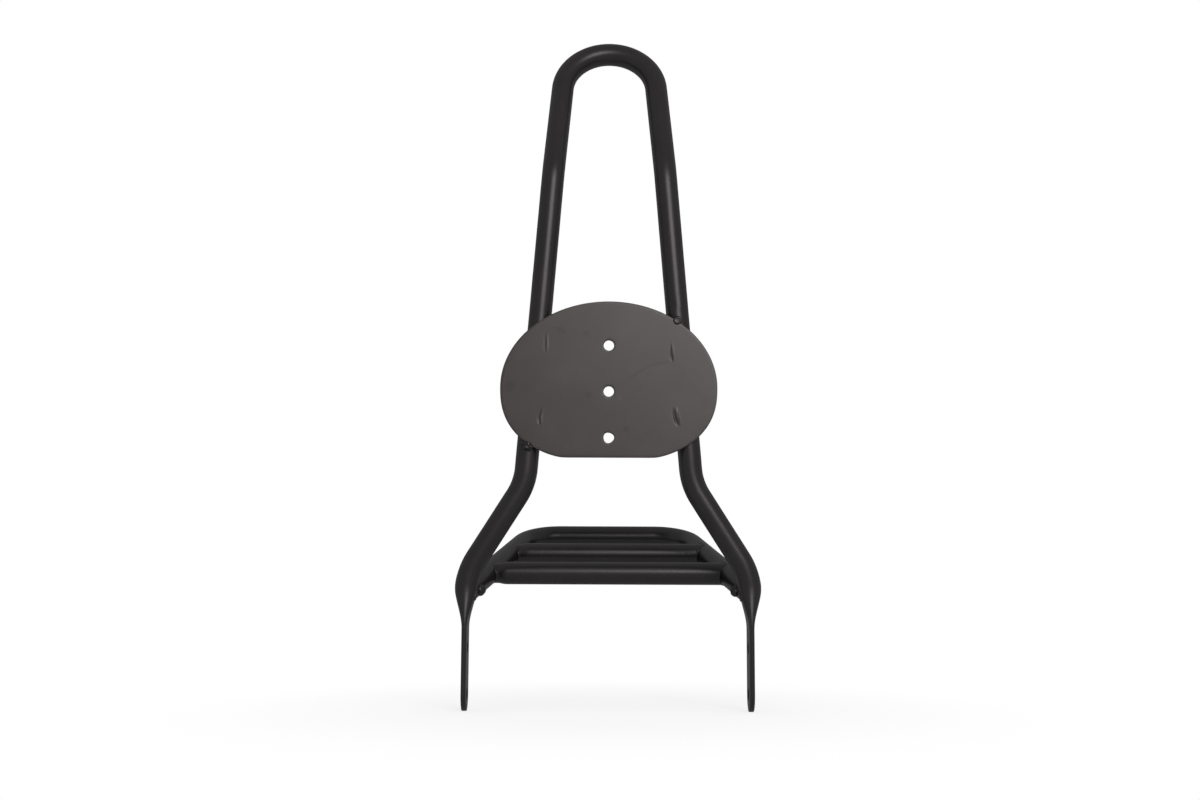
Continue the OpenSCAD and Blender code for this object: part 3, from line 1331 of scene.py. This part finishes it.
@dataclass
class Welds(SubAssembly):
    """Weld beads where the tubes and the plate meet, laid by hand and coated over."""

    hoop: Hoop
    rack: Rack
    plate: PadPlate
    bead_r: float = 2.1
    arm_bead_r: float = 2.0
    # Share of its radius by which a bead stands out of the tube that it goes round
    proud: float = 0.45
    # Length of one ripple, from one puddle of a hand-laid weld to the next
    ripple_mm: float = 2.4
    ripple_depth: float = 0.3
    # How far a bead's radius wanders, and over what length
    wander: float = 0.25
    wander_mm: float = 9.0
    # How far apart in the noise two beads' lines lie, and in which plane of it
    wander_apart: float = 5.3
    wander_plane: float = 0.5
    # Each puddle starts at this share of its height, is highest at this share of its length, and
    # falls from there like a circle of this squared radius, overlapped by the next
    puddle_start: float = 0.7
    puddle_front: float = 0.2
    puddle_fall: float = 0.75
    # An open bead's round ends: their length as a share of its radius, and what keeps them open
    end_reach: float = 1.4
    end_least: float = 0.05
    bead_points: int = 20
    step: float = 0.5
    sharp: float = 80.0
    # A seam is looked for along this many lines from this far up a tube to this far past its
    # end, just under its skin, and its loop is smoothed this often
    seam_points: int = 120
    seam_from: float = 45.0
    seam_past: float = 15.0
    seam_under: float = 0.05
    seam_rounds: int = 3
    arm_rounds: int = 2
    # Numbers that set how the beads wander: at the arms, at the cross tubes and behind the plate
    arm_seed: int = 3
    bar_seed: int = 10
    stitch_seed: int = 20
    # Room left between the arms' beads and the object's sides
    side_room: float = 0.3
    # The four short beads behind the plate: heights from its widest line, half length, how far
    # from the leg's middle as a share of its radius, and how far behind the plate's back
    stitch_heights: tuple[float, float] = (39.5, -30.5)
    stitch_half: float = 6.0
    stitch_in: float = 0.72
    stitch_behind: float = 0.6
    # The weld spot on the plate's upper edge is a plug with a slightly dished top: share of its
    # radius and depth behind its top of each point of its profile
    plug_at: tuple[float, float, float] = (65.9, -15.9, 354.6)
    plug_r: float = 4.4
    plug_profile: tuple[tuple[float, float], ...] = (
        (0.03, 0.2),
        (0.15, 0.22),
        (0.3, 0.2),
        (0.45, 0.1),
        (0.58, 0.0),
        (0.66, -0.02),
        (0.72, 0.1),
        (0.78, 0.35),
        (0.84, 0.7),
        (0.9, 1.15),
        (0.95, 1.7),
        (1.0, 2.5),
        (1.0, 5.5),
    )
    # The one on the lower edge is two lumps that ran together
    edge_lumps: tuple[Lump, ...] = (
        Lump(Vector((-76.6, -12.5, 233.0)), 4.3, 0.85, 0.45, 4, 0.85),
        Lump(Vector((-80.8, -10.5, 236.0)), 3.0, 0.6, 0.35, 9, 0.85),
    )
    # The last puddle of the left and of the right arm's bead, low on the inside of the joint
    arm_lumps: tuple[Lump, ...] = (
        Lump(Vector((-122.6, 9.0, 96.4)), 5.6, 1.0, 0.12, 4, 1.0),
        Lump(Vector((122.6, 9.0, 96.4)), 5.6, 1.0, 0.12, 6, 1.0),
    )
    slot: Slot = Slot.WELD

    def bead(self, line: list[Vector], closed: bool, seed: int, radius: float) -> Shell:
        """Lay a rippled bead along a line.

        Args:
            line: Points of the line.
            closed: Whether its end joins its start.
            seed: Sets how this bead wanders.
            radius: Its radius.

        Returns:
            Points and faces.
        """
        points = self.even(line, closed)
        n = len(points)
        ripples = round(n * self.step / self.ripple_mm)
        rings = []
        side: Vector | None = None
        for i, p in enumerate(points):
            before = points[i - 1] if closed or i else points[0]
            after = points[(i + 1) % n] if closed or i < n - 1 else points[-1]
            ahead = (after - before).normalized()
            side = (side - ahead * side.dot(ahead)).normalized() if side else ahead.orthogonal().normalized()
            off = (i / n * ripples) % 1.0 - self.puddle_front
            if off < 0:
                puddle = 1 + (1 - self.puddle_start) * off / self.puddle_front
            else:
                puddle = math.sqrt(1 - off**2 / self.puddle_fall)
            place = Vector((i * self.step / self.wander_mm, seed * self.wander_apart, self.wander_plane))
            r = radius + self.ripple_depth * (puddle - 1) + self.wander * noise.noise(place)
            if not closed:
                end = min(i, n - 1 - i) * self.step + self.end_least
                r *= math.sqrt(min(1.0, end / (self.end_reach * radius)))
            rings.append(ring_at(Station(p, ahead), side, r, self.bead_points))
        return skin(rings, closed_path=closed)

    def even(self, line: list[Vector], closed: bool) -> list[Vector]:
        """Space a line's points evenly.

        Args:
            line: The line.
            closed: Whether its end joins its start.

        Returns:
            New points, one bead step apart.
        """
        line = line + [line[0]] if closed else line
        lengths = [0.0]
        for a, b in zip(line, line[1:]):
            lengths.append(lengths[-1] + (b - a).length)
        count = round(lengths[-1] / self.step)
        made, j = [], 0
        for i in range(count if closed else count + 1):
            want = lengths[-1] * i / count
            while j < len(line) - 2 and lengths[j + 1] < want:
                j += 1
            k = (want - lengths[j]) / (lengths[j + 1] - lengths[j])
            made.append(line[j].lerp(line[j + 1], k))
        return made

    def seam(self, onto: BVHTree, end: Vector, away: Vector) -> list[Vector]:
        """Find the line where a tube's end meets what it is welded to.

        Args:
            onto: Search tree of the other piece.
            end: The point where the tube's axis ends.
            away: Direction from there along the tube.

        Returns:
            A closed loop.
        """
        side = away.orthogonal().normalized()
        start = Station(end + away * self.seam_from, away)
        hits: list[Vector | None] = []
        reach = (self.seam_from + self.seam_past) * MM
        for origin in ring_at(start, side, self.hoop.radius - self.seam_under, self.seam_points):
            place = onto.ray_cast(origin * MM, -away, reach)[0]
            hits.append(place / MM if place else None)
        good = [i for i, hit in enumerate(hits) if hit]
        loop: list[Vector] = []
        ring = ring_at(Station(end, away), side, self.hoop.radius, self.seam_points)
        for i, hit in enumerate(hits):
            if not hit:
                # Where a line passes the other piece, the loop goes evenly from hit to hit
                back = min((i - g) % self.seam_points for g in good)
                on = min((g - i) % self.seam_points for g in good)
                a, b = i - back, (i + on) % self.seam_points
                from_a, from_b = (hits[a] - ring[a]).dot(away), (hits[b] - ring[b]).dot(away)
                hit = ring[i] + away * (from_a + (from_b - from_a) * back / (back + on))
            loop.append(hit)
        return smoothed(loop, self.seam_rounds)

    @staticmethod
    def sunk(loop: list[Vector], end: Vector, away: Vector, by: float) -> list[Vector]:
        """Move a loop round a tube by a distance towards the axis that runs from end along away."""
        return [p + (end + away * (p - end).dot(away) - p).normalized() * by for p in loop]

    def joined(self, name: str, parts: list[Shell]) -> bpy.types.Object:
        """Join several beads into one piece.

        Args:
            name: Name of the piece.
            parts: Points and faces of each bead.

        Returns:
            The piece.
        """
        verts: list[Vector] = []
        faces: Faces = []
        for v, f in parts:
            faces += [tuple(len(verts) + i for i in face) for face in f]
            verts += v
        return make_object(name, (verts, faces), self.sharp)

    def build_arm_welds(self, hoop_piece: bpy.types.Object) -> bpy.types.Object:
        """Lay the beads round the rack arms' ends.

        Args:
            hoop_piece: The hoop that they are welded to.

        Returns:
            The beads.
        """
        onto = tree_of(hoop_piece)
        r = self.arm_bead_r
        # Ground flush at the sides, where the arm is as wide as the leg
        widest = cad_high.x / MM - r - self.side_room
        parts = []
        for side in (-1, 1):
            end = self.rack.at(side * self.hoop.foot_span / 2, 0)
            far = self.rack.at(side * self.rack.rear_span / 2, self.rack.length)
            away = (far - end).normalized()
            loop = self.sunk(self.seam(onto, end, away), end, away, r * (1 - self.proud))
            loop = [Vector((max(-widest, min(widest, p.x)), p.y, p.z)) for p in loop]
            parts.append(self.bead(smoothed(loop, self.arm_rounds), True, self.arm_seed + side, r))
        parts += [lump.shell() for lump in self.arm_lumps]
        return self.joined("rack_arm_beads", parts)

    def build_bar_welds(self, loop_piece: bpy.types.Object) -> bpy.types.Object:
        """Lay the beads round the cross tubes' ends.

        Args:
            loop_piece: The bent tube that they are welded to.

        Returns:
            The beads.
        """
        onto = tree_of(loop_piece)
        parts = []
        for k, u in enumerate(self.rack.bar_places):
            for side in (-1, 1):
                end = self.rack.at(side * self.rack.arm_x(u), u)
                away = RIGHT * -side
                deep = self.bead_r * (1 - self.proud) + (self.rack.ground if side < 0 else 0.0)
                loop = self.sunk(self.seam(onto, end, away), end, away, deep)
                parts.append(self.bead(loop, True, self.bar_seed + 2 * k + side, self.bead_r))
        return self.joined("rack_bar_beads", parts)

    def build_plate_welds(self) -> bpy.types.Object:
        """Lay four short beads behind the plate and the two weld spots on its edge.

        Returns:
            The beads.
        """
        inward = self.stitch_in * self.hoop.radius
        y = self.plate.back_y + self.stitch_behind
        parts = []
        for k, height in enumerate(self.stitch_heights):
            for side in (-1, 1):
                middle = self.plate.middle_z + height
                heights = (middle - self.stitch_half, middle, middle + self.stitch_half)
                line = [Vector((side * (self.hoop.leg_x(z) - inward), y, z)) for z in heights]
                parts.append(self.bead(line, False, self.stitch_seed + 2 * k + side, self.bead_r))
        profile = [(self.plug_r * share, back) for share, back in self.plug_profile]
        parts.append(turned(profile, Vector(self.plug_at), REAR))
        parts += [lump.shell() for lump in self.edge_lumps]
        return self.joined("plate_beads", parts)


# Surroundings


@dataclass(frozen=True)
class SoftBox:
    """A soft lamp that faces the middle of the object; sizes in metres."""

    name: str
    at: tuple[float, float, float]
    size: tuple[float, float]
    watts: float
    # Linear colour, and whether glossy surfaces show the lamp
    tint: tuple[float, float, float] = (1.0, 1.0, 1.0)
    mirrored: bool = True
    aim: tuple[float, float, float] = (0.0, 0.0, 0.3)

    def hang(self) -> None:
        """Put the lamp in the scene."""
        data = bpy.data.lights.new(self.name, "AREA")
        data.shape = "RECTANGLE"
        data.size, data.size_y = self.size
        data.energy = self.watts
        data.color = self.tint
        lamp = bpy.data.objects.new(self.name, data)
        lamp.location = self.at
        lamp.rotation_mode = "QUATERNION"
        lamp.rotation_quaternion = (Vector(self.aim) - Vector(self.at)).to_track_quat("-Z", "Y")
        lamp.visible_glossy = self.mirrored
        bpy.context.collection.objects.link(lamp)


@dataclass
class Studio:
    """Pale floor, white world, soft lamps and the camera."""

    floor_gap: float = 0.1
    floor_size: float = 6000.0
    floor_colour: str = "#f6f6f6"
    # Distances from the origin, in metres, between which the floor fades into the white behind
    # it, and how far it has faded at the nearer one
    fade_from: float = 0.12
    fade_to: float = 0.45
    fade_least: float = 0.78
    # Light of the world on the object, where 1 is white
    fill: float = 0.35
    # Above and right of the camera, and a weak one overhead
    lamps: tuple[SoftBox, ...] = (
        SoftBox("front_soft_box", (0.46, -1.7, 0.9), (1.0, 0.7), 25.5, (1.0, 0.965, 0.958)),
        SoftBox("top_soft_box", (0.0, 0.3, 2.2), (1.6, 1.6), 12.0, mirrored=False),
    )
    camera_at: tuple[float, float, float] = (-7.229, -1386.857, 109.797)
    yaw: float = -0.046
    pitch: float = 6.95
    roll: float = 0.227
    focal_px: float = 1447.35
    image_width: float = 1200.0
    sensor_mm: float = 36.0
    # Distances in metres between which the camera sees
    sight: tuple[float, float] = (0.01, 50.0)

    @staticmethod
    def seen_ray(tree: bpy.types.NodeTree) -> bpy.types.NodeSocket:
        """Tell rays that the eye, a gloss or a glass sends out from others.

        Args:
            tree: The node tree.

        Returns:
            A socket that is one for them and zero for others.
        """
        path = add_node(tree, "LightPath", {}).outputs
        seen = path["Is Camera Ray"]
        for other in ("Is Glossy Ray", "Is Transmission Ray"):
            seen = add_node(tree, "Math", {0: seen, 1: path[other]}, operation="MAXIMUM").outputs[0]
        return seen

    def build_floor(self) -> None:
        """Lay the pale floor, which fades into the white behind it with distance."""
        low = cad_low.z / MM - self.floor_gap
        half = self.floor_size / 2
        corners = ((-half, -half), (half, -half), (half, half), (-half, half))
        shell = [Vector((x, y, low)) for x, y in corners], [(0, 1, 2, 3)]
        floor = make_object("studio_floor", shell)
        material = bpy.data.materials.new("matt_white_floor")
        tree = emptied(material)
        where = add_node(tree, "TexCoord", {}).outputs["Object"]
        far = add_node(tree, "VectorMath", {0: where}, operation="LENGTH").outputs["Value"]
        low, high = self.fade_from, self.fade_to
        inputs = {"Value": far, "From Min": low, "From Max": high, "To Min": self.fade_least}
        fade = add_node(tree, "MapRange", inputs, interpolation_type="SMOOTHSTEP").outputs["Result"]
        share = add_node(tree, "Math", {0: fade, 1: self.seen_ray(tree)}, operation="MULTIPLY").outputs[0]
        matt = add_node(tree, "BsdfDiffuse", {"Color": linear(self.floor_colour)}).outputs[0]
        white = add_node(tree, "Emission", {"Color": linear("#ffffff"), "Strength": 1.0}).outputs[0]
        mixed = add_node(tree, "MixShader", {0: share, 1: matt, 2: white})
        add_node(tree, "OutputMaterial", {"Surface": mixed.outputs[0]})
        floor.data.materials.append(material)

    def build_world(self) -> None:
        """Put white behind everything, with a weaker light for the object."""
        world = bpy.data.worlds.new("studio_white")
        tree = emptied(world)
        fill, white = (
            add_node(tree, "Background", {"Color": linear("#ffffff"), "Strength": strength}).outputs[0]
            for strength in (self.fill, 1.0)
        )
        mixed = add_node(tree, "MixShader", {0: self.seen_ray(tree), 1: fill, 2: white})
        add_node(tree, "OutputWorld", {"Surface": mixed.outputs[0]})
        bpy.context.scene.world = world

    def build_camera(self) -> None:
        """Set up the camera of the photo."""
        y, p, r = (math.radians(a) for a in (self.yaw, self.pitch, self.roll))
        ahead = Vector((math.sin(y) * math.cos(p), math.cos(y) * math.cos(p), math.sin(p)))
        right = ahead.cross(UP).normalized()
        up = right.cross(ahead)
        right, up = right * math.cos(r) + up * math.sin(r), up * math.cos(r) - right * math.sin(r)
        data = bpy.data.cameras.new("camera")
        data.sensor_width = self.sensor_mm
        data.lens = self.focal_px / self.image_width * self.sensor_mm
        data.clip_start, data.clip_end = self.sight
        camera = bpy.data.objects.new("camera", data)
        turn = Matrix((right, up, -ahead)).transposed()
        camera.matrix_world = Matrix.Translation(Vector(self.camera_at) * MM) @ turn.to_4x4()
        bpy.context.collection.objects.link(camera)
        bpy.context.scene.camera = camera

    def build(self) -> None:
        """Build the surroundings and set the view."""
        self.build_floor()
        self.build_world()
        for lamp in self.lamps:
            lamp.hang()
        bpy.context.scene.view_settings.view_transform = "Standard"


def report(piece: bpy.types.Object) -> None:
    """Log a piece's name, faces, open edges and size.

    Args:
        piece: The piece.
    """
    with opened(piece) as bm:
        open_edges = sum(not e.is_manifold for e in bm.edges)
    size = piece.dimensions / MM
    log.info("%s: %d faces, %d open edges, %s mm", piece.name, len(piece.data.polygons), open_edges, size)


def main() -> None:
    """Build the pieces in order."""
    logging.basicConfig(level=logging.INFO, format="%(name)s: %(message)s")
    studio = Studio()
    studio.build_camera()
    coats = {slot: coat.build() for slot, coat in COATS.items()}
    hoop = Hoop()
    rack = Rack(hoop)
    plate = PadPlate(hoop)
    welds = Welds(hoop, rack, plate)

    hoop_piece = hoop.build()
    loop_piece = rack.build_loop()
    cut(loop_piece, [hoop_piece], keep_tools=True)
    names = ("rack_front_tube", "rack_middle_tube")
    front_bar, middle_bar = (rack.build_bar(name, u) for name, u in zip(names, rack.bar_places))
    for bar in (front_bar, middle_bar):
        cut(bar, [loop_piece], keep_tools=True)

    finished = [
        (hoop, hoop_piece, "main_hoop"),
        (rack, loop_piece, "rack_loop"),
        (rack, front_bar, "rack_front_bar"),
        (rack, middle_bar, "rack_middle_bar"),
        (plate, plate.build(), "pad_plate"),
        (welds, welds.build_plate_welds(), "plate_welds"),
        (welds, welds.build_arm_welds(hoop_piece), "rack_arm_welds"),
        (welds, welds.build_bar_welds(loop_piece), "rack_bar_welds"),
    ]
    for maker, piece, node in finished:
        maker.dress(piece, coats[maker.slot], node)
        report(piece)
    studio.build()


if __name__ == "__main__":
    main()
